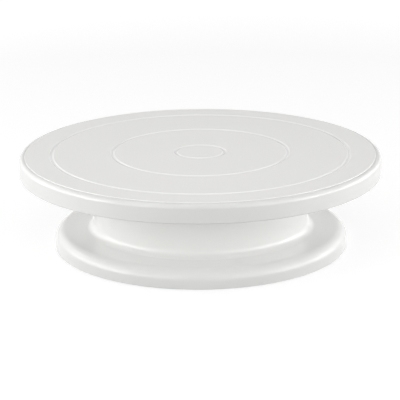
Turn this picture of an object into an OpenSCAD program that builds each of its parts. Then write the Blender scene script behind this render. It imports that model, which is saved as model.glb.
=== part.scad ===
// Pedestal turntable for decorating cakes.
// A round plate turns on a ring of steel balls above a flared base.
// Units are millimetres, +Z is up, and the origin is the centre of the surface that the feet stand on.

/* [Plate] */
// Diameter of the plate across its rim
plate_d = 280; // [250:1:340]
// Height of the plate's top above the table
total_h = 74; // [60:0.5:95]
// Thickness of the plate's flat web
plate_t = 2.8; // [2.2:0.1:4]
// Height of the rim from the plate's top to its lower edge
rim_h = 15.1; // [14:0.1:20]
// Thickness of the rim's wall
rim_t = 2.6; // [2.2:0.1:4]
// Radius that rounds the rim's upper edge
rim_round = 3.6; // [2:0.1:4.5]
// Radius of the hollow corner between web and rim, on the underside
rim_inner_round = 1.5; // [0.5:0.1:3]
// Radius that rounds the rim's lower edge
rim_lip_round = 0.9; // [0.3:0.1:1]
// How far the flat top stands above the rim's shoulder
top_step = 0.4; // [0.2:0.1:0.8]
// Width of the narrow shoulder between the flat top and the rounded edge
shoulder_w = 0.6; // [0.3:0.1:2]

/* [Guide rings] */
// Radius of the innermost guide groove
ring_inner_r = 19; // [10:0.5:40]
// Distance from the rim to the outermost guide groove
ring_edge_gap = 24.8; // [12:0.1:40]
// Where the middle groove lies between the other two, in percent of the way out
ring_middle_percent = 51; // [30:1:70]
// Width of each groove at the surface
groove_w = 3; // [1.5:0.1:4]
// Depth of each groove
groove_depth = 0.55; // [0.3:0.05:0.8]

/* [Base] */
// Diameter of the base at its outer wall
base_d = 228; // [215:0.5:260]
// Height of the flange's top above the table
flange_h = 15; // [13:0.5:22]
// Radius that rounds the flange's outer edge
flange_round = 7.8; // [4:0.1:10]
// Outer radius of the collar where it meets the flange
collar_r = 83.6; // [75:0.1:90]
// Angle by which the collar leans in as it rises, in degrees
collar_draft = 0.5; // [0:0.1:1.5]
// Radius of the hollow fillet between collar and flange
collar_fillet = 5.5; // [3:0.1:8]
// Radius that rounds the collar's top edge
deck_round = 1.8; // [1:0.1:2.4]
// Thickness of the base's walls
wall = 2.6; // [2:0.1:3.2]
// Thickness of the deck on top of the collar
deck_t = 2.8; // [2.2:0.1:4]

/* [Ribs] */
// Thickness of the stiffening ribs
rib_t = 1.8; // [1.2:0.1:2.4]
// Depth of the ribs under the plate
plate_rib_h = 6; // [4:0.5:6.5]
// Number of ribs between the plate's bearing and its rim
plate_outer_ribs = 24; // [12:4:36]
// Number of ribs between the plate's boss and its bearing
plate_inner_ribs = 12; // [6:2:18]
// Depth of the ribs under the deck
deck_rib_h = 14; // [8:1:18]
// Depth of the ring-shaped rib under the ball track
track_rib_h = 7; // [4:1:12]
// Number of ribs under the deck
deck_ribs = 8; // [4:1:16]
// Number of ribs under the flange
flange_ribs = 12; // [6:6:36]
// Height of the flange ribs' lower edge above the table
flange_rib_z = 4; // [2:0.5:6]

/* [Ball bearing] */
// Distance from the collar's wall in to the middle of the ball track
track_inset = 21.6; // [16:0.1:26]
// Diameter of a bearing ball
ball_d = 6; // [5:0.5:8]
// Number of bearing balls
ball_count = 16; // [8:1:20]
// Width of each steel race, from its inner to its outer edge
race_w = 11; // [10.5:0.5:14]
// Thickness of each race
race_t = 2.2; // [1.8:0.1:3]
// Depth of the rounded track in each race
track_depth = 1; // [0.6:0.1:1.2]
// Width of the ball cage, from its inner to its outer edge
cage_w = 9; // [8.5:0.5:10]
// Thickness of the ball cage
cage_t = 2.4; // [1.6:0.1:3]
// Thickness of the raised seat under the plate that the upper race lies against
seat_t = 1.2; // [0.6:0.1:2]
// Height of the low walls that keep each race centred
race_lip_h = 1.5; // [1:0.1:1.6]
// Thickness of those walls
race_lip_t = 1.5; // [1:0.1:2]

/* [Pivot] */
// Diameter of the steel pivot pin where it turns in its bush
pin_d = 10; // [8:0.5:14]
// Diameter of the pin's neck, which is pressed into the plate
pin_neck_d = 6; // [5:0.5:7]
// Wall of the bush round the pin
bush_wall = 2.5; // [1.5:0.1:4]
// How far the bush's flange reaches past its body
bush_flange_w = 3; // [1.5:0.1:3.5]
// Thickness of the bush's flange
bush_flange_t = 1.5; // [1:0.1:2]
// Length of the hub below the deck's top, which is the length of the bush's body
hub_len = 22.5; // [16:0.5:30]
// Wall of the hub round the bush
hub_wall = 4; // [3:0.1:6]
// Wall of the plate's centre boss round the pin's neck
boss_wall = 8; // [5:0.1:9]
// Plastic left between the pin's upper end and the plate's top
pin_cover = 2; // [1.5:0.1:2.4]
// Bevel on both ends of the pin and on its shoulder
pin_bevel = 0.8; // [0.4:0.1:1.2]
// Thread diameter of the retaining screw
screw_d = 5; // [4:1:5]
// Length of the screw below its head
screw_len = 12; // [8:1:16]
// Diameter of the screw's head
screw_head_d = 9.5; // [8:0.1:10]
// Height of the screw's head
screw_head_h = 3.2; // [2.4:0.1:4]
// Radius that rounds the edge of the screw's head
screw_head_round = 1.1; // [0.5:0.1:1.2]
// Length of each arm pair of the cross recess in the screw's head
recess_len = 5.2; // [3:0.1:6]
// Width of the recess's arms
recess_w = 1.1; // [0.8:0.1:1.5]
// Depth of the recess
recess_depth = 1.9; // [1:0.1:2.2]
// How much deeper the pin's screw hole is than the screw reaches
screw_hole_spare = 2; // [1:0.5:4]
// Outer diameter of the retaining washer
washer_d = 20; // [18:0.5:24]
// Thickness of the retaining washer
washer_t = 1.5; // [1:0.1:2]

/* [Feet] */
// Number of rubber feet
foot_count = 6; // [3:1:8]
// Diameter of a foot's pad
foot_pad_d = 15; // [12:0.5:16]
// Diameter of the stem that plugs into the base
foot_stem_d = 10; // [6:0.5:10.5]
// Length of that stem
foot_stem_len = 4; // [3:0.5:5]
// Thickness of a foot's pad
foot_pad_t = 2; // [1.4:0.1:2.6]
// Radius that rounds the lower edge of a foot's pad
foot_pad_round = 0.6; // [0.3:0.1:1]
// How far the socket that holds a foot reaches past its pad
foot_socket_edge = 0.3; // [0.1:0.1:0.8]
// How far the feet hold the base's edge off the table
foot_proud = 0.8; // [0.4:0.1:1.2]
// Gap between a foot's pad and the inside of the base's outer wall
foot_wall_gap = 1.6; // [1:0.1:4]

/* [Clearances] */
// Radial play of the pin in its bush
running_play = 0.05; // [0.02:0.01:0.1]
// Radial gap of the pieces that are pressed or plugged together
press_play = 0.02; // [0.01:0.01:0.05]
// Gap between a ball and each track at rest
ball_play = 0.05; // [0.02:0.01:0.08]
// Radial gap between a ball and its pocket in the cage
pocket_play = 0.1; // [0.05:0.01:0.2]
// How much larger the track's radius is than the ball's
track_relief = 0.15; // [0.1:0.05:0.4]
// Up-and-down play between the hub and the retaining washer
end_play = 0.3; // [0.2:0.05:0.6]
// Gap between the plate's boss, which rests on the pin's shoulder, and the bush's flange
boss_gap = 0.5; // [0.3:0.1:1]

/* [Hidden] */
$fn = 96;
eps = 0.01;

plate_r = plate_d / 2;
rim_inner_r = plate_r - rim_t;
flat_r = plate_r - rim_round - shoulder_w;
shoulder_z = total_h - top_step;
web_z = total_h - plate_t;
rim_z = total_h - rim_h;
seat_z = web_z - seat_t;

ring_outer_r = plate_r - ring_edge_gap;
ring_middle_r = ring_inner_r + (ring_outer_r - ring_inner_r) * ring_middle_percent / 100;
groove_r = (pow(groove_w / 2, 2) + pow(groove_depth, 2)) / (2 * groove_depth);

ball_r = ball_d / 2;
race_floor = race_t - track_depth;
stack_h = ball_d + 2 * (race_floor + ball_play);
deck_z = seat_z - stack_h;
ball_z = deck_z + stack_h / 2;
track_r = collar_r - track_inset;
race_outer_r = track_r + race_w / 2;
race_inner_r = track_r - race_w / 2;
// inner radii of the low walls that centre each race, inside it and outside it
inner_lip_r = race_inner_r - press_play - race_lip_t;
outer_lip_r = race_outer_r + press_play;

base_r = base_d / 2;
base_z = foot_proud;
foot_ring_r = base_r - wall - foot_wall_gap - foot_pad_d / 2;
foot_socket_r = foot_pad_d / 2 + foot_socket_edge;

pin_r = pin_d / 2;
pin_top_z = total_h - pin_cover;
bush_bore_r = pin_r + running_play;
bush_r = bush_bore_r + bush_wall;
bush_flange_r = bush_r + bush_flange_w;
hub_bore_r = bush_r + press_play;
hub_r = hub_bore_r + hub_wall;
hub_z = deck_z - hub_len;
pin_end_z = hub_z - end_play;
boss_z = deck_z + bush_flange_t + boss_gap;
pin_neck_r = pin_neck_d / 2;
boss_bore_r = pin_neck_r + press_play;
boss_r = boss_bore_r + boss_wall;
screw_r = screw_d / 2;

PLASTIC = "#f2f2f0";
INNER_PLASTIC = "#dcdcd6";
STEEL = "#b4b7ba";
RUBBER = "#5a5a5c";

function two_digits(n) = n < 10 ? str("0", n) : str(n);
ball_names = [for (i = [1 : ball_count]) str("bearing_ball_", two_digits(i))];
foot_names = [for (i = [1 : foot_count]) str("foot_", i)];

// ---------- helpers ----------

// A rectangle of the half section, from one corner to the other.
module span(r0, z0, r1, z1) {
    translate([r0, z0]) square([r1 - r0, z1 - z0]);
}

// A round spot of the half section.
module spot(r, z, radius) {
    translate([r, z]) circle(r = radius);
}

// A ring with a rectangular section.
module ring(r0, r1, z0, z1) {
    rotate_extrude() span(r0, z0, r1, z1);
}

// Straight ribs that run outwards, evenly spaced round the axis.
module ribs(count, r0, r1, z0, z1, turn = 0) {
    for (i = [0 : count - 1])
        rotate([0, 0, turn + i * 360 / count])
            translate([r0, -rib_t / 2, z0])
                cube([r1 - r0, rib_t, z1 - z0]);
}

// Puts its child at each of the evenly spaced places on a circle.
module around(count, radius, turn = 0) {
    for (i = [0 : count - 1])
        rotate([0, 0, turn + i * 360 / count])
            translate([radius, 0, 0])
                children();
}

// ---------- plate ----------

// Half section of the plate's web and rim.
module plate_section() {
    hollow_r = rim_inner_r - rim_inner_round;
    hollow_z = web_z - rim_inner_round;
    difference() {
        union() {
            span(0, web_z, flat_r, total_h);
            span(0, rim_z, plate_r - rim_round, shoulder_z);
            span(0, rim_z, plate_r - rim_lip_round, shoulder_z - rim_round);
            span(0, rim_z + rim_lip_round, plate_r, shoulder_z - rim_round);
            spot(plate_r - rim_round, shoulder_z - rim_round, rim_round);
            spot(plate_r - rim_lip_round, rim_z + rim_lip_round, rim_lip_round);
        }
        span(-eps, rim_z - eps, rim_inner_r, hollow_z);
        span(-eps, rim_z - eps, hollow_r, web_z);
        spot(hollow_r, hollow_z, rim_inner_round);
        for (r = [ring_inner_r, ring_middle_r, ring_outer_r])
            spot(r, total_h - groove_depth + groove_r, groove_r);
    }
}

// Half section of the seat for the upper race, with the low walls that centre it.
module upper_seat_section() {
    span(inner_lip_r, seat_z, outer_lip_r + race_lip_t, web_z + eps);
    for (r = [inner_lip_r, outer_lip_r])
        span(r, seat_z - race_lip_h, r + race_lip_t, seat_z + eps);
}

module turntable_plate() {
    rib_z = web_z - plate_rib_h;
    rib_end_r = rim_inner_r + rim_t / 2;
    half_lip = race_lip_t / 2;
    color(PLASTIC)
        difference() {
            union() {
                rotate_extrude() {
                    plate_section();
                    upper_seat_section();
                    span(0, boss_z, boss_r, web_z + eps);
                }
                ribs(plate_outer_ribs, outer_lip_r + half_lip, rib_end_r, rib_z, web_z + eps);
                ribs(plate_inner_ribs, boss_r - boss_wall / 2, inner_lip_r + half_lip, rib_z, web_z + eps);
            }
            translate([0, 0, boss_z - eps]) cylinder(r = boss_bore_r, h = pin_top_z - boss_z + eps);
        }
}

// ---------- ball bearing ----------

// A flat steel ring with a rounded track in its upper face.
module race() {
    rotate_extrude()
        difference() {
            span(race_inner_r, 0, race_outer_r, race_t);
            spot(track_r, race_floor + ball_r + track_relief, ball_r + track_relief);
        }
}

module upper_race() {
    color(STEEL) translate([0, 0, seat_z]) mirror([0, 0, 1]) race();
}

module lower_race() {
    color(STEEL) translate([0, 0, deck_z]) race();
}

module ball_cage() {
    color(INNER_PLASTIC)
        difference() {
            ring(track_r - cage_w / 2, track_r + cage_w / 2, ball_z - cage_t / 2, ball_z + cage_t / 2);
            around(ball_count, track_r)
                translate([0, 0, ball_z - cage_t])
                    cylinder(r = ball_r + pocket_play, h = 2 * cage_t);
        }
}

// The ball with the given place in the ring, counted from zero.
module bearing_ball(i) {
    color(STEEL)
        rotate([0, 0, i * 360 / ball_count])
            translate([track_r, 0, ball_z])
                sphere(r = ball_r);
}

// ---------- pivot ----------

// A stepped pin: its neck is pressed into the plate's boss, which rests on the shoulder.
module pivot_pin() {
    screw_hole_r = screw_r + press_play;
    screw_hole_z = pin_end_z + screw_len - washer_t + screw_hole_spare;
    color(STEEL)
        rotate_extrude()
            polygon([
                [screw_hole_r, pin_end_z],
                [pin_r - pin_bevel, pin_end_z],
                [pin_r, pin_end_z + pin_bevel],
                [pin_r, boss_z - pin_bevel],
                [pin_r - pin_bevel, boss_z],
                [pin_neck_r, boss_z],
                [pin_neck_r, pin_top_z - pin_bevel],
                [pin_neck_r - pin_bevel, pin_top_z],
                [0, pin_top_z],
                [0, screw_hole_z],
                [screw_hole_r, screw_hole_z]
            ]);
}

module pivot_bush() {
    color(INNER_PLASTIC)
        rotate_extrude() {
            span(bush_bore_r, hub_z, bush_r, deck_z + bush_flange_t);
            span(bush_bore_r, deck_z, bush_flange_r, deck_z + bush_flange_t);
        }
}

module retaining_washer() {
    color(STEEL) ring(screw_r + press_play, washer_d / 2, pin_end_z - washer_t, pin_end_z);
}

// A pan-head screw with a cross recess, driven in from below.
module retaining_screw() {
    head_r = screw_head_d / 2;
    head_top_z = pin_end_z - washer_t;
    head_z = head_top_z - screw_head_h;
    color(STEEL)
        difference() {
            rotate_extrude() {
                span(0, head_top_z - eps, screw_r, head_top_z + screw_len);
                span(0, head_z, head_r - screw_head_round, head_top_z);
                span(0, head_z + screw_head_round, head_r, head_top_z);
                spot(head_r - screw_head_round, head_z + screw_head_round, screw_head_round);
            }
            for (turn = [0, 90])
                rotate([0, 0, turn])
                    translate([-recess_len / 2, -recess_w / 2, head_z - eps])
                        cube([recess_len, recess_w, recess_depth + eps]);
        }
}

// ---------- base ----------

// Half section of everything inside the base's outer surface, moved in by side and down by top.
module base_section(side, top) {
    r_skirt = base_r - side;
    z_flange = flange_h - side;
    z_deck = deck_z - top;
    round_out = flange_round - side;
    round_in = min(collar_fillet, base_r - flange_round - collar_r) + side;
    round_top = max(deck_round - side, 0);
    r_foot = collar_r - side;
    r_head = r_foot - (z_deck - z_flange) * tan(collar_draft);
    // centre of the hollow fillet's circle, which touches the leaning collar and the level flange
    fillet_r = r_foot + round_in * (1 - sin(collar_draft)) / cos(collar_draft);
    fillet_z = z_flange + round_in;
    difference() {
        union() {
            span(0, base_z - side, r_skirt, z_flange - round_out);
            span(0, base_z - side, r_skirt - round_out, z_flange);
            spot(r_skirt - round_out, z_flange - round_out, round_out);
            polygon([
                [0, z_flange - eps],
                [r_foot, z_flange - eps],
                [r_foot, z_flange],
                [r_head, z_deck - round_top],
                [r_head - round_top, z_deck],
                [0, z_deck]
            ]);
            if (round_top > 0) spot(r_head - round_top, z_deck - round_top, round_top);
            polygon([
                [0, z_flange - eps],
                [fillet_r, z_flange - eps],
                [fillet_r, z_flange],
                [fillet_r - round_in * cos(collar_draft), fillet_z - round_in * sin(collar_draft)],
                [0, fillet_z]
            ]);
        }
        spot(fillet_r, fillet_z, round_in);
    }
}

// Everything that stiffens the base from inside, before it is trimmed to the shell.
module base_inside() {
    deck_under_z = deck_z - deck_t;
    ribs(deck_ribs, hub_r - hub_wall / 2, collar_r, deck_under_z - deck_rib_h, deck_z);
    ribs(flange_ribs, collar_r - wall, base_r, flange_rib_z, flange_h + collar_fillet);
    ring(track_r - rib_t / 2, track_r + rib_t / 2, deck_under_z - track_rib_h, deck_z);
    ring(0, hub_r, hub_z, deck_z);
    around(foot_count, foot_ring_r)
        translate([0, 0, foot_pad_t])
            cylinder(r = foot_socket_r, h = flange_h - foot_pad_t);
}

module base_shell() {
    color(PLASTIC)
        difference() {
            union() {
                difference() {
                    rotate_extrude() base_section(0, 0);
                    rotate_extrude() base_section(wall, deck_t);
                }
                intersection() {
                    rotate_extrude() base_section(wall / 2, deck_t / 2);
                    base_inside();
                }
                for (r = [inner_lip_r, outer_lip_r])
                    ring(r, r + race_lip_t, deck_z - deck_t / 2, deck_z + race_lip_h);
            }
            translate([0, 0, hub_z - eps]) cylinder(r = hub_bore_r, h = hub_len + 2 * eps);
            around(foot_count, foot_ring_r)
                translate([0, 0, foot_pad_t - eps])
                    cylinder(r = foot_stem_d / 2 + press_play, h = foot_stem_len + press_play + eps);
        }
}

// The rubber foot with the given place round the base, counted from zero.
module foot(i) {
    pad_r = foot_pad_d / 2;
    color(RUBBER)
        rotate([0, 0, i * 360 / foot_count])
            translate([foot_ring_r, 0, 0])
                rotate_extrude() {
                    span(0, 0, pad_r - foot_pad_round, foot_pad_t);
                    span(0, foot_pad_round, pad_r, foot_pad_t);
                    spot(pad_r - foot_pad_round, foot_pad_round, foot_pad_round);
                    span(0, foot_pad_t - eps, foot_stem_d / 2, foot_pad_t + foot_stem_len);
                }
}

// ---------- assembly ----------

turntable_plate();
upper_race();
ball_cage();
for (i = [0 : ball_count - 1])
    bearing_ball(i);
lower_race();
pivot_pin();
pivot_bush();
retaining_washer();
retaining_screw();
base_shell();
for (i = [0 : foot_count - 1])
    foot(i);
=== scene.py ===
import math

import bmesh
import bpy
from mathutils import Matrix, Vector


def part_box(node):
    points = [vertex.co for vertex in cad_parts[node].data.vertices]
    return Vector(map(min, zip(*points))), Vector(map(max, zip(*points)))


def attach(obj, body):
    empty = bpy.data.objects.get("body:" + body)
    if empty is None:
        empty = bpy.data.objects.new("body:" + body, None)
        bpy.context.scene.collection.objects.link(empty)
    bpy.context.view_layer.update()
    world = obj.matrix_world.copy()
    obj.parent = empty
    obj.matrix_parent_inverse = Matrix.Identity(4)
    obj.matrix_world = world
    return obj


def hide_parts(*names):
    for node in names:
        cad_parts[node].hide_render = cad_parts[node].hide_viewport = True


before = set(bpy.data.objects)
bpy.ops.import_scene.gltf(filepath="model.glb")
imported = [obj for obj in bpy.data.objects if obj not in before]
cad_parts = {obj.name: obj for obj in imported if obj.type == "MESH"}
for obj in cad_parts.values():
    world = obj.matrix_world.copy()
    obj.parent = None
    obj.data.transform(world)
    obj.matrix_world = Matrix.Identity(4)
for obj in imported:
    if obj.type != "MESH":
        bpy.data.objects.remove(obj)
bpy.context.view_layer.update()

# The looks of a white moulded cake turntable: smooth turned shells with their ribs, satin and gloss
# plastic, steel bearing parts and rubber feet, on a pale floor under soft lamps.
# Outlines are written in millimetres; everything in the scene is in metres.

MM = 0.001


# ---------- sizes, in millimetres ----------

plate_low, plate_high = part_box("turntable_plate")
base_low, base_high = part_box("base_shell")
race_low, race_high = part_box("lower_race")
upper_low, upper_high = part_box("upper_race")
ball_low, ball_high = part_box("bearing_ball_01")
bush_low, bush_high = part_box("pivot_bush")
foot_low, foot_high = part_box("foot_1")


def in_mm(length):
    """A frame length in millimetres, to the nearest tenth, which undoes the CAD mesh's short chords."""
    return round(length / MM, 1)


PLATE_R = in_mm(plate_high.x)
PLATE_TOP = in_mm(plate_high.z)
PLATE_RIM_Z = in_mm(plate_low.z)
PLATE_WEB = 2.8
WEB_Z = PLATE_TOP - PLATE_WEB
RIM_WALL = 2.6
RIM_ROUND = 3.6
RIM_SKIN = 1.0       # the depth of the rim that has its outside finish, the gloss with painted shade
TOP_STEP = 0.4
SHOULDER_W = 0.6
FLAT_R = PLATE_R - RIM_ROUND - SHOULDER_W
SATIN_T = 0.06       # how far below the top the satin finish goes
GUIDE_RINGS = (19.0, 68.06, 115.2)
GUIDE_HALF_W = 1.5
GUIDE_NOTCH = 1.0
BOSS_R = 11.02
BOSS_BORE_R = 3.02
BOSS_GAP = 2.0       # between the plate's boss and the base's deck
BORE_ROOF = 2.0      # the plastic left above the boss's bore
PLATE_RIB_H = 6.0
PLATE_OUTER_RIBS = 24
PLATE_INNER_RIBS = 12

SEAT_Z = in_mm(upper_high.z)
DECK_Z = in_mm(race_low.z)
LIP_H = 1.5
LIPS = ((54.98, 56.48), (67.52, 69.02))

RACE_INNER_R = 56.5
RACE_OUTER_R = in_mm(race_high.x)
RACE_T = in_mm(race_high.z - race_low.z)
TRACK_R = in_mm((ball_low.x + ball_high.x) / 2)
TRACK_DEPTH = 1.0
TRACK_ROUND = 3.15
TRACK_STEPS = 20

BASE_R = in_mm(base_high.x)
BASE_Z = in_mm(base_low.z)
FLANGE_Z = 15.0
FLANGE_ROUND = 7.8
WALL = 2.6
DECK_T = 2.8
DECK_UNDER_Z = DECK_Z - DECK_T
COLLAR_FOOT_R = 83.6
COLLAR_HEAD_R = 83.19
COLLAR_FILLET = 5.5
HUB_R = 11.57
HUB_BORE_R = 7.57
HUB_Z = in_mm(bush_low.z)
DECK_RIB_H = 14.0
DECK_RIBS = 8
TRACK_RIB_H = 7.0
FLANGE_RIB_Z = 4.0
FLANGE_RIBS = 12

FOOT_RING_R = in_mm((foot_low.x + foot_high.x) / 2)
FOOT_PAD_R = in_mm((foot_high.x - foot_low.x) / 2)
FOOT_PAD_T = 2.0
FOOT_STEM_R = 5.0
FOOT_TOP = in_mm(foot_high.z)
FOOT_COUNT = 6
FOOT_FIT = 0.02      # the gap round a foot's stem in its socket
SOCKET_WALL = 0.3    # how far a socket reaches past the foot's pad

RIB_T = 1.8
RIB_EDGE = 0.3
INTO_LIP = 0.7       # how far a rib runs into the wall that it joins
INTO_BOSS = 3.0
INTO_HUB = 2.0
INTO_WEB = 0.5
INTO_DECK = 0.6

TURNS = 256          # segments round a turned shell
SMALL_TURNS = 64     # segments round a small turned part
GUARD = 0.25         # how close to a rounding its guard point lies
LONG_RUN = 5 * GUARD   # the shortest straight that gets guard points
ARC_STEP = math.radians(11)
SHARP_ANGLE = math.radians(38)

LATHE_R = 0.2        # metres: the circle that an outline is carried round
WELD_GAP = 1e-6      # metres


# ---------- outlines ----------

def rounded(corners):
    """The outline through (radius, height, rounding) corners in millimetres, as a list of points.

    Guard points beside each rounding keep the shading of the flats next to it flat."""
    closed = corners[0][0] > 0 or corners[-1][0] > 0
    count = len(corners)
    points = []
    for i, (r, z, rounding) in enumerate(corners):
        here = Vector((r, z))
        at_end = not closed and i in (0, count - 1)
        if at_end or rounding == 0:
            points.append(here)
            continue
        before = Vector(corners[i - 1][:2])
        after = Vector(corners[(i + 1) % count][:2])
        back, ahead = (before - here).normalized(), (after - here).normalized()
        corner_angle = back.angle(ahead)
        reach = rounding / math.tan(corner_angle / 2)
        bisector = (back + ahead).normalized()
        centre = here + bisector * (rounding / math.sin(corner_angle / 2))
        start, end = here + back * reach, here + ahead * reach
        turn = math.pi - corner_angle
        steps = max(2, math.ceil(turn / ARC_STEP))
        arm = start - centre
        side = math.copysign(1, arm.cross(end - centre))
        for k in range(steps + 1):
            points.append(centre + Matrix.Rotation(side * turn * k / steps, 2) @ arm)
    guarded = []
    pairs = zip(points, points[1:] + points[:1]) if closed else zip(points, points[1:])
    for a, b in pairs:
        guarded.append(a)
        run = (b - a).length
        if run > LONG_RUN:
            step = (b - a) * (GUARD / run)
            guarded += [a + step, b - step]
    if not closed:
        guarded.append(points[-1])
    return guarded


def guide_notch(r):
    """Corners of one shallow guide groove in the plate's top."""
    return [
        (r - GUIDE_HALF_W, PLATE_TOP, 0.5),
        (r, PLATE_TOP - GUIDE_NOTCH, 2.0),
        (r + GUIDE_HALF_W, PLATE_TOP, 0.5),
    ]


def lip_corners(ring, foot_z, tip_z):
    """Corners of a low ring wall that stands on foot_z and ends at tip_z, met from its inside."""
    inner, outer = ring
    return [(inner, foot_z, 0.2), (inner, tip_z, 0.3), (outer, tip_z, 0.3), (outer, foot_z, 0.2)]


def plate_outline():
    """The plate's section: its top with the guide grooves, its rim, the bearing's seat and the boss."""
    inner_r = PLATE_R - RIM_WALL
    top = [(0, PLATE_TOP, 0)]
    for r in GUIDE_RINGS:
        top += guide_notch(r)
    rim = [
        (FLAT_R, PLATE_TOP, 0.22),
        (FLAT_R, PLATE_TOP - TOP_STEP, 0.12),
        (PLATE_R, PLATE_TOP - TOP_STEP, RIM_ROUND),
        (PLATE_R, PLATE_RIM_Z, 0.9),
        (inner_r, PLATE_RIM_Z, 0.5),
        (inner_r, WEB_Z, 1.5),
    ]
    lip_foot = SEAT_Z - LIP_H
    (inner_a, inner_b), (outer_a, outer_b) = LIPS
    seat = [
        (outer_b, WEB_Z, 0.3),
        (outer_b, lip_foot, 0.3),
        (outer_a, lip_foot, 0.3),
        (outer_a, SEAT_Z, 0),
        (inner_b, SEAT_Z, 0),
        (inner_b, lip_foot, 0.3),
        (inner_a, lip_foot, 0.3),
        (inner_a, WEB_Z, 0.3),
    ]
    boss = [
        (BOSS_R, WEB_Z, 1.0),
        (BOSS_R, DECK_Z + BOSS_GAP, 0.4),
        (BOSS_BORE_R, DECK_Z + BOSS_GAP, 0.2),
        (BOSS_BORE_R, PLATE_TOP - BORE_ROOF, 0),
        (0, PLATE_TOP - BORE_ROOF, 0),
    ]
    return rounded(top + rim + seat + boss)


def base_outline():
    """The base's section: its deck with the lips, its outside, and its hollow with a rib and the hub."""
    rib_in, rib_out = TRACK_R - RIB_T / 2, TRACK_R + RIB_T / 2
    rib_z = DECK_UNDER_Z - TRACK_RIB_H
    deck = [(HUB_BORE_R, DECK_Z, 0.3)]
    for ring in LIPS:
        deck += lip_corners(ring, DECK_Z, DECK_Z + LIP_H)
    outside = [
        (COLLAR_HEAD_R, DECK_Z, 1.8),
        (COLLAR_FOOT_R, FLANGE_Z, COLLAR_FILLET),
        (BASE_R, FLANGE_Z, FLANGE_ROUND),
        (BASE_R, BASE_Z, 0.5),
    ]
    inside = [
        (BASE_R - WALL, BASE_Z, 0.4),
        (BASE_R - WALL, FLANGE_Z - WALL, FLANGE_ROUND - WALL),
        (COLLAR_FOOT_R - WALL, FLANGE_Z - WALL, COLLAR_FILLET + WALL),
        (COLLAR_HEAD_R - WALL, DECK_UNDER_Z, 0.8),
        (rib_out, DECK_UNDER_Z, 0.4),
        (rib_out, rib_z, 0.4),
        (rib_in, rib_z, 0.4),
        (rib_in, DECK_UNDER_Z, 0.4),
        (HUB_R, DECK_UNDER_Z, 1.0),
        (HUB_R, HUB_Z, 0.5),
        (HUB_BORE_R, HUB_Z, 0.2),
    ]
    return rounded(deck + outside + inside)


def race_outline(foot_z, up):
    """A steel race that lies on foot_z. Its rounded ball track faces up (1) or down (-1)."""
    face_z = foot_z + up * RACE_T
    middle_z = face_z + up * (TRACK_ROUND - TRACK_DEPTH)
    half = math.acos(1 - TRACK_DEPTH / TRACK_ROUND)
    track = []
    for k in range(TRACK_STEPS + 1):
        angle = half * (2 * k / TRACK_STEPS - 1)
        across, down = TRACK_ROUND * math.sin(angle), TRACK_ROUND * math.cos(angle)
        track.append((TRACK_R + across, middle_z - up * down, 0))
    faces = [(RACE_INNER_R, face_z, 0.3), *track, (RACE_OUTER_R, face_z, 0.3)]
    back = [(RACE_OUTER_R, foot_z, 0.2), (RACE_INNER_R, foot_z, 0.2)]
    return rounded((faces + back)[::up])


def foot_outline():
    """A rubber foot, from its stem's top down to its pad."""
    return rounded([
        (0, FOOT_TOP, 0),
        (FOOT_STEM_R, FOOT_TOP, 0.5),
        (FOOT_STEM_R, FOOT_PAD_T, 0.2),
        (FOOT_PAD_R, FOOT_PAD_T, 0.3),
        (FOOT_PAD_R, 0, 0.6),
        (0, 0, 0),
    ])


def socket_outline():
    """The socket that a foot plugs into, from its mouth up into the flange."""
    outer_r, mouth_r, top = FOOT_PAD_R + SOCKET_WALL, FOOT_STEM_R + FOOT_FIT, FLANGE_Z - WALL / 2
    return rounded([
        (0, top, 0),
        (outer_r, top, 0),
        (outer_r, FOOT_PAD_T, 0.3),
        (mouth_r, FOOT_PAD_T, 0.2),
        (mouth_r, FOOT_TOP + FOOT_FIT, 0),
        (0, FOOT_TOP + FOOT_FIT, 0),
    ])


# ---------- geometry nodes ----------

def new_tree(name, inputs):
    """An empty geometry node tree with a Geometry input and output and the named inputs."""
    tree = bpy.data.node_groups.new(name, "GeometryNodeTree")
    tree.interface.new_socket("Geometry", in_out="INPUT", socket_type="NodeSocketGeometry")
    for label, kind in inputs:
        tree.interface.new_socket(label, in_out="INPUT", socket_type=kind)
    tree.interface.new_socket("Geometry", in_out="OUTPUT", socket_type="NodeSocketGeometry")
    return tree, tree.nodes.new("NodeGroupInput"), tree.nodes.new("NodeGroupOutput")


def turning_tree():
    """Turns an outline about the Z axis.

    The outline's X is its distance past the lathe's circle, and its Y is downwards."""
    tree, given, out = new_tree("turned_shell", [
        ("Turns", "NodeSocketInt"),
        ("Lathe Radius", "NodeSocketFloat"),
        ("Weld", "NodeSocketFloat"),
        ("Finish", "NodeSocketMaterial"),
    ])
    add, link = tree.nodes.new, tree.links.new
    outline = add("GeometryNodeMeshToCurve")
    circle = add("GeometryNodeCurvePrimitiveCircle")
    upright = add("GeometryNodeSetCurveNormal")
    upright.mode = "Z_UP"
    sweep = add("GeometryNodeCurveToMesh")
    weld = add("GeometryNodeMergeByDistance")
    smooth = add("GeometryNodeSetShadeSmooth")
    realize = add("GeometryNodeRealizeInstances")
    finish = add("GeometryNodeSetMaterial")
    link(given.outputs["Geometry"], outline.inputs["Mesh"])
    link(given.outputs["Turns"], circle.inputs["Resolution"])
    link(given.outputs["Lathe Radius"], circle.inputs["Radius"])
    link(circle.outputs["Curve"], upright.inputs["Curve"])
    link(upright.outputs["Curve"], sweep.inputs["Curve"])
    link(outline.outputs["Curve"], sweep.inputs["Profile Curve"])
    link(sweep.outputs["Mesh"], weld.inputs["Geometry"])
    link(given.outputs["Weld"], weld.inputs["Distance"])
    link(weld.outputs["Geometry"], smooth.inputs["Geometry"])
    link(smooth.outputs["Geometry"], realize.inputs["Geometry"])
    link(realize.outputs["Geometry"], finish.inputs["Geometry"])
    link(given.outputs["Finish"], finish.inputs["Material"])
    link(finish.outputs["Geometry"], out.inputs["Geometry"])
    return tree


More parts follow.
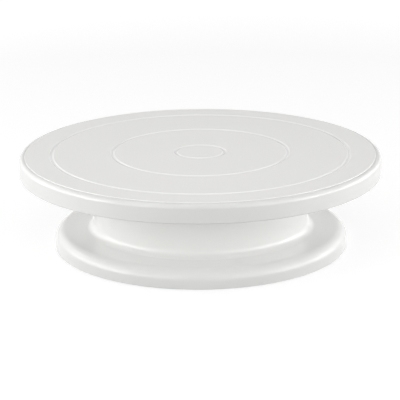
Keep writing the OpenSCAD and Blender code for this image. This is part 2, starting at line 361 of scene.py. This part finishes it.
def ring_tree():
    """Copies its item evenly round the Z axis."""
    tree, given, out = new_tree("ring_of_copies", [
        ("Count", "NodeSocketInt"),
        ("Finish", "NodeSocketMaterial"),
    ])
    add, link = tree.nodes.new, tree.links.new
    places = add("GeometryNodePoints")
    index = add("GeometryNodeInputIndex")
    step = add("ShaderNodeMath")
    step.operation = "DIVIDE"
    step.inputs[0].default_value = math.tau
    angle = add("ShaderNodeMath")
    angle.operation = "MULTIPLY"
    turn = add("ShaderNodeCombineXYZ")
    spin = add("FunctionNodeEulerToRotation")
    copies = add("GeometryNodeInstanceOnPoints")
    realize = add("GeometryNodeRealizeInstances")
    finish = add("GeometryNodeSetMaterial")
    link(given.outputs["Count"], places.inputs["Count"])
    link(given.outputs["Count"], step.inputs[1])
    link(index.outputs["Index"], angle.inputs[0])
    link(step.outputs["Value"], angle.inputs[1])
    link(angle.outputs["Value"], turn.inputs["Z"])
    link(turn.outputs["Vector"], spin.inputs["Euler"])
    link(places.outputs["Points"], copies.inputs["Points"])
    link(given.outputs["Geometry"], copies.inputs["Instance"])
    link(spin.outputs["Rotation"], copies.inputs["Rotation"])
    link(copies.outputs["Instances"], realize.inputs["Geometry"])
    link(realize.outputs["Geometry"], finish.inputs["Geometry"])
    link(given.outputs["Finish"], finish.inputs["Material"])
    link(finish.outputs["Geometry"], out.inputs["Geometry"])
    return tree


def grown(mesh, tree, values):
    """The plain mesh that the tree makes from this mesh with these named inputs."""
    seed = bpy.data.objects.new("seed", mesh)
    bpy.context.scene.collection.objects.link(seed)
    modifier = seed.modifiers.new("grow", "NODES")
    modifier.node_group = tree
    for item in tree.interface.items_tree:
        if item.item_type == "SOCKET" and item.in_out == "INPUT" and item.name in values:
            modifier[item.identifier] = values[item.name]
    depsgraph = bpy.context.evaluated_depsgraph_get()
    result = bpy.data.meshes.new_from_object(seed.evaluated_get(depsgraph), depsgraph=depsgraph)
    seed.modifiers.remove(modifier)
    bpy.data.objects.remove(seed)
    return result


def turned(outline, finish, turns):
    """The mesh of an outline turned about the Z axis. An outline that leaves the axis is a closed ring."""
    closed = outline[0].x > 0
    mesh = bpy.data.meshes.new("outline")
    verts = [(p.x * MM - LATHE_R, -p.y * MM, 0) for p in outline]
    count = len(verts)
    edges = [(i, (i + 1) % count) for i in range(count if closed else count - 1)]
    mesh.from_pydata(verts, edges, [])
    values = {"Turns": turns, "Lathe Radius": LATHE_R, "Weld": WELD_GAP, "Finish": finish}
    return grown(mesh, TURNING, values)


def ringed(mesh, count, finish):
    """This mesh copied evenly round the Z axis, the first copy where it is."""
    return grown(mesh, RING, {"Count": count, "Finish": finish})


# ---------- solids ----------

def moved_out(mesh, distance):
    """The same mesh, moved along X by millimetres."""
    mesh.transform(Matrix.Translation(Vector((distance, 0, 0)) * MM))
    return mesh


def rib_mesh(corners, edge=RIB_EDGE):
    """A flat rib from (radius, height) corners in millimetres, standing in the X-Z plane."""
    half = RIB_T / 2
    work = bmesh.new()
    sides = [[work.verts.new((r * MM, y * MM, z * MM)) for r, z in corners] for y in (-half, half)]
    count = len(corners)
    work.faces.new(sides[0])
    work.faces.new(reversed(sides[1]))
    for i in range(count):
        j = (i + 1) % count
        work.faces.new((sides[0][i], sides[0][j], sides[1][j], sides[1][i]))
    bmesh.ops.recalc_face_normals(work, faces=work.faces[:])
    bmesh.ops.bevel(work, geom=work.edges[:], offset=edge * MM, segments=2, affect="EDGES", profile=0.5)
    mesh = bpy.data.meshes.new("rib")
    work.to_mesh(mesh)
    work.free()
    return mesh


def piece(name, meshes, finishes):
    """One object from several meshes, with its faces pointing outwards and smooth except at real edges."""
    work = bmesh.new()
    for mesh in meshes:
        work.from_mesh(mesh)
    bmesh.ops.recalc_face_normals(work, faces=work.faces[:])
    mesh = bpy.data.meshes.new(name)
    work.to_mesh(mesh)
    work.free()
    for finish in finishes:
        mesh.materials.append(finish)
    mesh.shade_smooth()
    mesh.set_sharp_from_angle(angle=SHARP_ANGLE)
    made = bpy.data.objects.new(name, mesh)
    bpy.context.scene.collection.objects.link(made)
    return made


TURNING = turning_tree()
RING = ring_tree()


# ---------- shader groups ----------

def new_effect(name, inputs, outputs):
    """An empty shader group with named float inputs and outputs."""
    group = bpy.data.node_groups.new(name, "ShaderNodeTree")
    group.interface.new_socket("Vector", in_out="INPUT", socket_type="NodeSocketVector")
    for label, value in inputs:
        socket = group.interface.new_socket(label, in_out="INPUT", socket_type="NodeSocketFloat")
        socket.default_value = value
    for label in outputs:
        group.interface.new_socket(label, in_out="OUTPUT", socket_type="NodeSocketFloat")
    return group, group.nodes.new("NodeGroupInput"), group.nodes.new("NodeGroupOutput")


def math_node(tree, operation, a, b, c=None):
    """A math node. Each of a, b and c is a number or a socket."""
    made = tree.nodes.new("ShaderNodeMath")
    made.operation = operation
    for slot, value in enumerate((a, b, c)):
        if value is None:
            continue
        if isinstance(value, (int, float)):
            made.inputs[slot].default_value = value
        else:
            tree.links.new(value, made.inputs[slot])
    return made.outputs["Value"]


def noise_node(tree, vector, scale, detail, roughness=0.5):
    """Noise from 0 to 1. Its scale is a number or a socket."""
    made = tree.nodes.new("ShaderNodeTexNoise")
    tree.links.new(vector, made.inputs["Vector"])
    if isinstance(scale, (int, float)):
        made.inputs["Scale"].default_value = scale
    else:
        tree.links.new(scale, made.inputs["Scale"])
    made.inputs["Detail"].default_value = detail
    made.inputs["Roughness"].default_value = roughness
    return made.outputs["Fac"]


def grain_effect():
    """The fine texture that a mould or a blast leaves: height from 0 to 1."""
    group, given, out = new_effect("mould_grain", [("Scale", 2500.0), ("Coarse Share", 0.35)], ["Height"])
    fine = noise_node(group, given.outputs["Vector"], given.outputs["Scale"], 2.0)
    coarse_scale = math_node(group, "MULTIPLY", given.outputs["Scale"], 0.3)
    coarse = noise_node(group, given.outputs["Vector"], coarse_scale, 1.0)
    blend = math_node(group, "SUBTRACT", coarse, fine)
    height = math_node(group, "MULTIPLY_ADD", blend, given.outputs["Coarse Share"], fine)
    group.links.new(height, out.inputs["Height"])
    return group


def mottle_effect():
    """Slow variation over a surface, from 0 to 1."""
    group, given, out = new_effect("slow_mottle", [("Scale", 12.0), ("Contrast", 1.0)], ["Mask"])
    cloud = noise_node(group, given.outputs["Vector"], given.outputs["Scale"], 3.0, 0.6)
    centred = math_node(group, "SUBTRACT", cloud, 0.5)
    wide = math_node(group, "MULTIPLY_ADD", centred, given.outputs["Contrast"], 0.5)
    clamp = group.nodes.new("ShaderNodeClamp")
    group.links.new(wide, clamp.inputs["Value"])
    group.links.new(clamp.outputs["Result"], out.inputs["Mask"])
    return group


def turning_mark_effect():
    """Fine circular marks round the Z axis, as from turning or from use: mask from 0 to 1."""
    inputs = [("Rings", 2200.0), ("Break Up", 14.0), ("Sparse", 0.62)]
    group, given, out = new_effect("circular_marks", inputs, ["Mask"])
    split = group.nodes.new("ShaderNodeSeparateXYZ")
    group.links.new(given.outputs["Vector"], split.inputs["Vector"])
    square_x = math_node(group, "MULTIPLY", split.outputs["X"], split.outputs["X"])
    square_sum = math_node(group, "MULTIPLY_ADD", split.outputs["Y"], split.outputs["Y"], square_x)
    radius = math_node(group, "SQRT", square_sum, None)
    across = group.nodes.new("ShaderNodeCombineXYZ")
    group.links.new(radius, across.inputs["X"])
    group.links.new(split.outputs["Z"], across.inputs["Y"])
    lines = noise_node(group, across.outputs["Vector"], given.outputs["Rings"], 2.0, 0.7)
    patches = noise_node(group, given.outputs["Vector"], given.outputs["Break Up"], 2.0)
    both = math_node(group, "MULTIPLY", lines, patches)
    doubled = math_node(group, "MULTIPLY", both, 2.0)
    lift = math_node(group, "SUBTRACT", doubled, given.outputs["Sparse"])
    sharp = math_node(group, "MULTIPLY", lift, 3.0)
    clamp = group.nodes.new("ShaderNodeClamp")
    group.links.new(sharp, clamp.inputs["Value"])
    group.links.new(clamp.outputs["Result"], out.inputs["Mask"])
    return group


GRAIN = grain_effect()
MOTTLE = mottle_effect()
MARKS = turning_mark_effect()


# ---------- finishes ----------

def effect(tree, group, vector, **values):
    """An effect placed in a material. Keyword names are the group's inputs with _ for a space."""
    made = tree.nodes.new("ShaderNodeGroup")
    made.node_tree = group
    tree.links.new(vector, made.inputs["Vector"])
    for label, value in values.items():
        made.inputs[label.replace("_", " ")].default_value = value
    return made.outputs[0]


def new_finish(name, **constants):
    """A material with a Principled shader. Returns it with its tree, shader and object coordinates."""
    made = bpy.data.materials.new(name)
    made.use_nodes = True
    tree = made.node_tree
    shader = next(n for n in tree.nodes if n.type == "BSDF_PRINCIPLED")
    for label, value in constants.items():
        shader.inputs[label.replace("_", " ")].default_value = value
    place = tree.nodes.new("ShaderNodeTexCoord").outputs["Object"]
    return made, tree, shader, place


def colour_by(tree, shader, mask, low, high):
    """Base colour that goes from low to high with the mask."""
    mix = tree.nodes.new("ShaderNodeMix")
    mix.data_type = "RGBA"
    mix.inputs[6].default_value = (*low, 1)
    mix.inputs[7].default_value = (*high, 1)
    tree.links.new(mask, mix.inputs[0])
    tree.links.new(mix.outputs[2], shader.inputs["Base Color"])


def roughness_by(tree, shader, mask, low, high):
    """Roughness that goes from low to high with the mask."""
    level = math_node(tree, "MULTIPLY_ADD", mask, high - low, low)
    tree.links.new(level, shader.inputs["Roughness"])


def bump_by(tree, shader, height, depth_mm):
    """A bump of this depth from the height."""
    bump = tree.nodes.new("ShaderNodeBump")
    bump.inputs["Strength"].default_value = 1.0
    bump.inputs["Distance"].default_value = depth_mm * MM
    tree.links.new(height, bump.inputs["Height"])
    tree.links.new(bump.outputs["Normal"], shader.inputs["Normal"])


def satin_white():
    """The plate's top: fine satin texture with faint circular marks from use."""
    made, tree, shader, place = new_finish("satin_white_plastic", IOR=1.5, Diffuse_Roughness=0.8)
    grain = effect(tree, GRAIN, place, Scale=2600.0, Coarse_Share=0.4)
    mottle = effect(tree, MOTTLE, place, Scale=9.0, Contrast=1.6)
    marks = effect(tree, MARKS, place, Rings=1500.0, Break_Up=12.0, Sparse=0.66)
    colour_by(tree, shader, mottle, (0.796, 0.792, 0.775), (0.815, 0.811, 0.797))
    worn = math_node(tree, "MULTIPLY_ADD", marks, -0.5, mottle)
    roughness_by(tree, shader, worn, 0.50, 0.60)
    bump_by(tree, shader, grain, 0.012)
    return made


def gloss_white(name, shade, roughness, softness):
    """Glossy moulded plastic of this grey shade, with faint waviness. Softness evens out its shading.
    Shades that differ between parts of one white plastic are painted light and shade.
    """
    made, tree, shader, place = new_finish(name, IOR=1.5, Diffuse_Roughness=softness)
    mottle = effect(tree, MOTTLE, place, Scale=14.0, Contrast=1.5)
    grain = effect(tree, GRAIN, place, Scale=420.0, Coarse_Share=0.6)
    low, high = shade - 0.01, shade + 0.01
    colour_by(tree, shader, mottle, (low, low, low - 0.013), (high, high, high - 0.01))
    roughness_by(tree, shader, mottle, roughness * 0.85, roughness * 1.25)
    bump_by(tree, shader, grain, 0.006)
    return made


def metal(name, colour, roughness, mark_depth_mm):
    """Turned or rolled steel with fine circular marks and a slightly uneven sheen."""
    made, tree, shader, place = new_finish(name, Metallic=1.0)
    marks = effect(tree, MARKS, place, Rings=3200.0, Break_Up=60.0, Sparse=0.3)
    mottle = effect(tree, MOTTLE, place, Scale=70.0, Contrast=1.8)
    low = tuple(c * 0.9 for c in colour)
    colour_by(tree, shader, mottle, low, colour)
    roughness_by(tree, shader, mottle, roughness * 0.7, roughness * 1.3)
    bump_by(tree, shader, marks, mark_depth_mm)
    return made


def matt_plastic(name, low, high, roughness):
    """Natural nylon or acetal: slightly waxy, with mould grain."""
    made, tree, shader, place = new_finish(name, IOR=1.48)
    grain = effect(tree, GRAIN, place, Scale=1800.0, Coarse_Share=0.5)
    mottle = effect(tree, MOTTLE, place, Scale=40.0, Contrast=1.5)
    colour_by(tree, shader, mottle, low, high)
    roughness_by(tree, shader, mottle, roughness, roughness + 0.12)
    bump_by(tree, shader, grain, 0.02)
    return made


def foot_rubber():
    """Soft grey rubber, dusty in patches."""
    made, tree, shader, place = new_finish("grey_foot_rubber", IOR=1.45)
    grain = effect(tree, GRAIN, place, Scale=1400.0, Coarse_Share=0.6)
    dust = effect(tree, MOTTLE, place, Scale=180.0, Contrast=2.2)
    colour_by(tree, shader, dust, (0.20, 0.20, 0.205), (0.30, 0.30, 0.30))
    roughness_by(tree, shader, dust, 0.62, 0.85)
    bump_by(tree, shader, grain, 0.03)
    return made


SATIN = satin_white()
# The rim's darker grey is painted shade: the same white plastic as the top, written darker.
RIM_GLOSS_PAINTED_SHADE = gloss_white("gloss_white_rim_painted_shade", 0.70, 0.22, 0.0)
# The grooves' lighter grey is a painted highlight: the same white plastic, written lighter so that its
# lines show bright.
GUIDE_GLOSS_PAINTED_HIGHLIGHT = gloss_white("gloss_white_guides_painted_highlight", 0.93, 0.14, 0.0)
# The base's lighter grey is painted light: the same white plastic as the top, written lighter against the
# shade under the plate.
BASE_GLOSS_PAINTED_LIGHT = gloss_white("gloss_white_base_painted_light", 0.895, 0.22, 1.0)
# The plate's underside is written lighter than its top, the same plastic: painted light.
UNDER_GLOSS_PAINTED_LIGHT = gloss_white("gloss_white_underside_painted_light", 0.905, 0.20, 0.6)
RACE_STEEL = metal("ground_race_steel", (0.56, 0.57, 0.58), 0.30, 0.004)
BALL_STEEL = metal("polished_ball_steel", (0.70, 0.70, 0.71), 0.08, 0.0005)
PIN_STEEL = metal("turned_pin_steel", (0.60, 0.61, 0.62), 0.26, 0.006)
ZINC = metal("bright_zinc_plate", (0.64, 0.65, 0.67), 0.24, 0.004)
NYLON = matt_plastic("natural_nylon", (0.60, 0.59, 0.54), (0.66, 0.65, 0.60), 0.42)
ACETAL = matt_plastic("natural_acetal", (0.66, 0.65, 0.59), (0.71, 0.70, 0.64), 0.34)
RUBBER = foot_rubber()


# ---------- camera ----------

def make_camera():
    """The camera that the main view uses: a long lens a little above the plate, in front."""
    distance = 1.435
    elevation = math.radians(16.89)
    roll = math.radians(-0.44)
    aim = Vector((-0.00046, 0.0, 0.03460))
    back = Vector((0.0, -math.cos(elevation), math.sin(elevation)))
    data = bpy.data.cameras.new("studio_camera")
    data.sensor_width = 36.0
    data.lens = 165.1
    data.clip_start, data.clip_end = 0.05, 50.0
    made = bpy.data.objects.new("studio_camera", data)
    turn = (-back).to_track_quat("-Z", "Y").to_matrix().to_4x4()
    made.matrix_world = Matrix.Translation(aim + back * distance) @ turn @ Matrix.Rotation(roll, 4, "Z")
    bpy.context.scene.collection.objects.link(made)
    bpy.context.scene.camera = made


# ---------- pieces ----------

def straight_rib(inner_r, outer_r, foot_z, top_z):
    """A rib with a level foot that runs outwards between two walls."""
    return rib_mesh([(inner_r, foot_z), (outer_r, foot_z), (outer_r, top_z), (inner_r, top_z)])


def finish_plate_faces(faces, finishes):
    """Satin on the flat top, clear gloss in the guide grooves, lighter as a painted highlight, and the
    rim's gloss, darker as painted shade, on the outside.
    """
    satin_floor = (PLATE_TOP - SATIN_T) * MM
    guide_floor = (PLATE_TOP - GUIDE_NOTCH) * MM
    flat_r, skin_r = FLAT_R * MM, (PLATE_R - RIM_SKIN) * MM
    faces_up = 0.05
    for face in faces:
        height, reach = face.center.z, face.center.xy.length
        if height > satin_floor and reach < flat_r:
            face.material_index = finishes.index(SATIN)
        elif height > guide_floor and reach < flat_r:
            face.material_index = finishes.index(GUIDE_GLOSS_PAINTED_HIGHLIGHT)
        elif reach > skin_r or (reach >= flat_r and face.normal.z > faces_up):
            face.material_index = finishes.index(RIM_GLOSS_PAINTED_SHADE)


def make_plate():
    """The turning plate with the ribs under it."""
    foot_z, top_z = WEB_Z - PLATE_RIB_H, WEB_Z + INTO_WEB
    outer_rib = straight_rib(LIPS[1][1] - INTO_LIP, PLATE_R - RIM_WALL / 2, foot_z, top_z)
    inner_rib = straight_rib(BOSS_R - INTO_BOSS, LIPS[0][0] + INTO_LIP, foot_z, top_z)
    parts = [
        turned(plate_outline(), UNDER_GLOSS_PAINTED_LIGHT, TURNS),
        ringed(outer_rib, PLATE_OUTER_RIBS, UNDER_GLOSS_PAINTED_LIGHT),
        ringed(inner_rib, PLATE_INNER_RIBS, UNDER_GLOSS_PAINTED_LIGHT),
    ]
    finishes = [UNDER_GLOSS_PAINTED_LIGHT, RIM_GLOSS_PAINTED_SHADE, SATIN, GUIDE_GLOSS_PAINTED_HIGHLIGHT]
    plate = piece("plate_moulding", parts, finishes)
    finish_plate_faces(plate.data.polygons, finishes)
    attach(plate, "plate")
    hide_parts("turntable_plate")


def flange_rib():
    """A rib under the flange. Its upper corners stay inside the walls of the flange and the collar."""
    middle_z = FLANGE_Z - WALL / 2
    fillet_z = FLANGE_Z + COLLAR_FILLET
    return rib_mesh([
        (COLLAR_FOOT_R - WALL, FLANGE_RIB_Z),
        (BASE_R - WALL / 2, FLANGE_RIB_Z),
        (BASE_R - WALL / 2, 8.5),
        (BASE_R - 6.5, middle_z - 1.6),
        (BASE_R - 9, middle_z - 0.4),
        (COLLAR_FOOT_R + 5, middle_z - 0.4),
        (COLLAR_FOOT_R + 0.4, middle_z + 2),
        (COLLAR_FOOT_R - 1.6, fillet_z),
        (COLLAR_FOOT_R - WALL, fillet_z),
    ], edge=0.25)


def make_base():
    """The standing base with its deck, its ribs and the sockets for the feet."""
    wall_r = COLLAR_HEAD_R - WALL / 2
    deck_rib = straight_rib(HUB_R - INTO_HUB, wall_r, DECK_UNDER_Z - DECK_RIB_H, DECK_UNDER_Z + INTO_DECK)
    socket = moved_out(turned(socket_outline(), BASE_GLOSS_PAINTED_LIGHT, SMALL_TURNS), FOOT_RING_R)
    parts = [
        turned(base_outline(), BASE_GLOSS_PAINTED_LIGHT, TURNS),
        ringed(deck_rib, DECK_RIBS, BASE_GLOSS_PAINTED_LIGHT),
        ringed(flange_rib(), FLANGE_RIBS, BASE_GLOSS_PAINTED_LIGHT),
        ringed(socket, FOOT_COUNT, BASE_GLOSS_PAINTED_LIGHT),
    ]
    base = piece("base_moulding", parts, [BASE_GLOSS_PAINTED_LIGHT])
    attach(base, "base")
    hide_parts("base_shell")


def make_races():
    """The two steel races, with finer facets in their tracks than the CAD nodes have."""
    for name, body, foot_z, up in (("lower_race", "base", DECK_Z, 1), ("upper_race", "plate", SEAT_Z, -1)):
        race = piece(name + "_ring", [turned(race_outline(foot_z, up), RACE_STEEL, TURNS)], [RACE_STEEL])
        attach(race, body)
        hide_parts(name)


def make_feet():
    """The rubber feet, plugged into the base."""
    foot = moved_out(turned(foot_outline(), RUBBER, SMALL_TURNS), FOOT_RING_R)
    feet = piece("rubber_feet", [ringed(foot, FOOT_COUNT, RUBBER)], [RUBBER])
    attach(feet, "base")
    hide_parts(*[f"foot_{i}" for i in range(1, FOOT_COUNT + 1)])


def dress_cad_nodes():
    """Gives each CAD node that stays visible its finish."""
    finishes = {
        "ball_cage": NYLON,
        "pivot_pin": PIN_STEEL,
        "pivot_bush": ACETAL,
        "retaining_washer": ZINC,
        "retaining_screw": ZINC,
    }
    for name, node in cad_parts.items():
        finish = BALL_STEEL if name.startswith("bearing_ball") else finishes.get(name)
        if finish:
            node.data.materials.clear()
            node.data.materials.append(finish)


# ---------- floor and surroundings, in metres ----------

FLOOR_R = 6.0
FLOOR_PAINTED_SHADE_SPAN = (0.13, 0.28)
FLOOR_BOUNCE_PAINTED_SHADE = (0.25, 0.72)       # how pale the floor is for the light that bounces off it, painted darker near the base as painted shade
FLOOR_PALE = 0.30                # what a shadow can take from the floor that is looked at
FLOOR_GLOW_SPAN = (0.7, 1.3)
FLOOR_GLOW = (0.80, 1.0)
HIDDEN_FLOOR_R = (BASE_R - 8) * MM   # the floor that the base covers


def looked_at(tree):
    """One for rays of the camera, of reflections and of clear pieces, zero for rays that gather light."""
    path = tree.nodes.new("ShaderNodeLightPath").outputs
    seen = math_node(tree, "MAXIMUM", path["Is Camera Ray"], path["Is Glossy Ray"])
    return math_node(tree, "MAXIMUM", seen, path["Is Transmission Ray"])


def by_reach(tree, reach, span, values):
    """A value that goes from the first to the second as the reach crosses the span."""
    made = tree.nodes.new("ShaderNodeMapRange")
    made.inputs["From Min"].default_value, made.inputs["From Max"].default_value = span
    made.inputs["To Min"].default_value, made.inputs["To Max"].default_value = values
    tree.links.new(reach, made.inputs["Value"])
    return made.outputs["Result"]


def make_floor():
    """A pale floor that shows white where it is lit and keeps a soft shadow. For the light that it
    bounces, it is painted darker near the base: painted shade.

    It is clear from below and under the base, so that a lamp below it lights the underside."""
    mesh = bpy.data.meshes.new("studio_floor")
    work = bmesh.new()
    bmesh.ops.create_circle(work, cap_ends=True, radius=FLOOR_R, segments=96)
    work.to_mesh(mesh)
    work.free()
    floor = bpy.data.objects.new("studio_floor", mesh)
    bpy.context.scene.collection.objects.link(floor)
    made = bpy.data.materials.new("pale_floor")
    made.use_nodes = True
    tree = made.node_tree
    tree.nodes.clear()
    add, link = tree.nodes.new, tree.links.new
    length = add("ShaderNodeVectorMath")
    length.operation = "LENGTH"
    link(add("ShaderNodeTexCoord").outputs["Object"], length.inputs[0])
    reach = length.outputs["Value"]
    # The bounce colour is darker near the base: painted shade that dims the light it sends onto the base.
    lit = add("ShaderNodeBsdfDiffuse")
    link(by_reach(tree, reach, FLOOR_PAINTED_SHADE_SPAN, FLOOR_BOUNCE_PAINTED_SHADE), lit.inputs["Color"])
    pale = add("ShaderNodeBsdfDiffuse")
    pale.inputs["Color"].default_value = (FLOOR_PALE, FLOOR_PALE, FLOOR_PALE, 1)
    glow = add("ShaderNodeEmission")
    link(by_reach(tree, reach, FLOOR_GLOW_SPAN, FLOOR_GLOW), glow.inputs["Strength"])
    white = add("ShaderNodeAddShader")
    link(pale.outputs[0], white.inputs[0])
    link(glow.outputs[0], white.inputs[1])
    seen = add("ShaderNodeMixShader")
    link(looked_at(tree), seen.inputs[0])
    link(lit.outputs[0], seen.inputs[1])
    link(white.outputs[0], seen.inputs[2])
    clear = add("ShaderNodeBsdfTransparent")
    side = add("ShaderNodeNewGeometry")
    hidden = math_node(tree, "LESS_THAN", reach, HIDDEN_FLOOR_R)
    either = add("ShaderNodeMixShader")
    link(math_node(tree, "MAXIMUM", side.outputs["Backfacing"], hidden), either.inputs[0])
    link(seen.outputs[0], either.inputs[1])
    link(clear.outputs[0], either.inputs[2])
    out = add("ShaderNodeOutputMaterial")
    link(either.outputs[0], out.inputs["Surface"])
    mesh.materials.append(made)


def make_world():
    """White surroundings that are looked at, directly and in reflections, and give no light."""
    world = bpy.data.worlds.new("studio_world")
    world.use_nodes = True
    tree = world.node_tree
    back = next(n for n in tree.nodes if n.type == "BACKGROUND")
    tree.links.new(looked_at(tree), back.inputs["Strength"])
    back.inputs["Color"].default_value = (1, 1, 1, 1)
    bpy.context.scene.world = world


# ---------- lamps: place, aim and size in metres, power in watts ----------

OBJECT = (0, 0, 0.04)
LAMPS = [
    ("left_low_lamp", (-1.4, -0.1, 0.25), OBJECT, (1.4, 0.45), 5.27),
    ("left_side_lamp", (-1.2, 0.0, 0.46), OBJECT, (1.6, 0.9), 6.63),
    ("left_front_low_lamp", (-1.1, -1.0, 0.25), OBJECT, (1.8, 0.48), 5.27),
    ("left_front_lamp", (-0.95, -0.95, 0.60), OBJECT, (1.8, 1.1), 4.88),
    ("left_back_lamp", (-0.95, 0.9, 0.60), OBJECT, (0.9, 0.9), 1.95),
    ("right_low_lamp", (1.4, -0.1, 0.25), OBJECT, (1.4, 0.45), 6.24),
    ("right_side_lamp", (1.2, 0.0, 0.46), OBJECT, (1.6, 0.9), 3.9),
    ("right_front_low_lamp", (1.1, -1.0, 0.25), OBJECT, (1.8, 0.48), 5.07),
    ("right_front_lamp", (0.95, -0.95, 0.60), OBJECT, (1.8, 1.1), 5.46),
    ("right_back_lamp", (1.25, 0.65, 0.30), OBJECT, (1.3, 0.55), 3.12),
    ("overhead_lamp", (0, 0.1, 1.5), OBJECT, (1.6, 1.2), 1.4),
    ("front_top_lamp", (-0.04, -0.20, 0.60), (-0.04, -0.20, 0), (0.6, 0.15), 0.95),
    ("back_high_lamp", (0, 0.85, 0.95), OBJECT, (1.6, 0.3), 0.97),
    ("under_lamp", (0, 0, -0.60), OBJECT, (0.7, 0.7), 3.2),
]


def make_lamp(name, place, aim, size, power):
    """A soft rectangular lamp that lights the object but isn't seen itself."""
    data = bpy.data.lights.new(name, "AREA")
    data.shape = "RECTANGLE"
    data.size, data.size_y = size
    data.energy = power
    made = bpy.data.objects.new(name, data)
    place = Vector(place)
    turn = (Vector(aim) - place).to_track_quat("-Z", "Y").to_matrix().to_4x4()
    made.matrix_world = Matrix.Translation(place) @ turn
    made.visible_camera = False
    bpy.context.scene.collection.objects.link(made)


make_camera()
make_plate()
make_base()
make_races()
make_feet()
dress_cad_nodes()
make_floor()
make_world()
for lamp in LAMPS:
    make_lamp(*lamp)

bpy.context.scene.view_settings.view_transform = "Standard"
